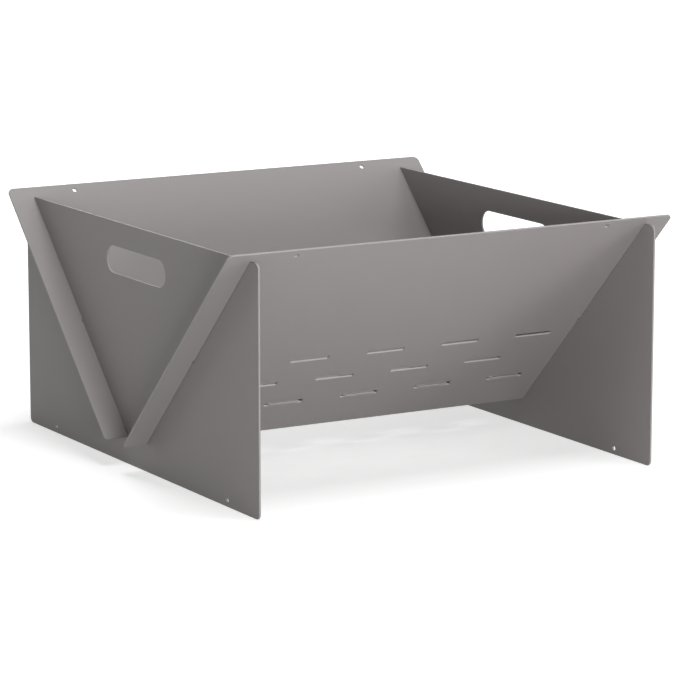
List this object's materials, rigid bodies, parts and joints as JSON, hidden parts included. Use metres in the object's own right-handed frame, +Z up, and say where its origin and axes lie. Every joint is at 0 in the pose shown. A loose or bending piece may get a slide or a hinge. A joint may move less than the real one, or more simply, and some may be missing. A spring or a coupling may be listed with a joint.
{
  "type": "fire basket",
  "caption": "Flat-pack fire basket: sloping steel side panels slot into upright end plates with hand holes, over a small slotted floor plate.",
  "frame": {"origin": "on the ground, under the middle of the basket", "axes": "+X along the side panels towards the right end plate, +Y towards the rear panel, +Z up"},
  "size_m": [0.514, 0.5176, 0.2593],
  "materials": {
    "powder_coat": "matt warm grey powder coat on sheet steel"
  },
  "bodies": {
    "end_plates": {"left_end_plate": "powder_coat", "right_end_plate": "powder_coat"},
    "front_panel": {"front_panel": "powder_coat"},
    "rear_panel": {"rear_panel": "powder_coat"},
    "floor_plate": {"floor_plate": "powder_coat"}
  },
  "joints": [
    {"name": "front_panel_lift", "type": "slide", "parent": "end_plates", "child": "front_panel", "axis": [0, -0.7071, 0.7071], "range_m": [0, 0.32]},
    {"name": "rear_panel_lift", "type": "slide", "parent": "end_plates", "child": "rear_panel", "axis": [0, 0.7071, 0.7071], "range_m": [0, 0.32]},
    {"name": "floor_lift", "type": "slide", "parent": "end_plates", "child": "floor_plate", "axis": [0, 0, 1], "range_m": [0, 0.2263]}
  ],
  "couplings": [
    {"joint": "rear_panel_lift", "follows": "front_panel_lift", "ratio": 1},
    {"joint": "floor_lift", "follows": "front_panel_lift", "ratio": 0.70711}
  ]
}
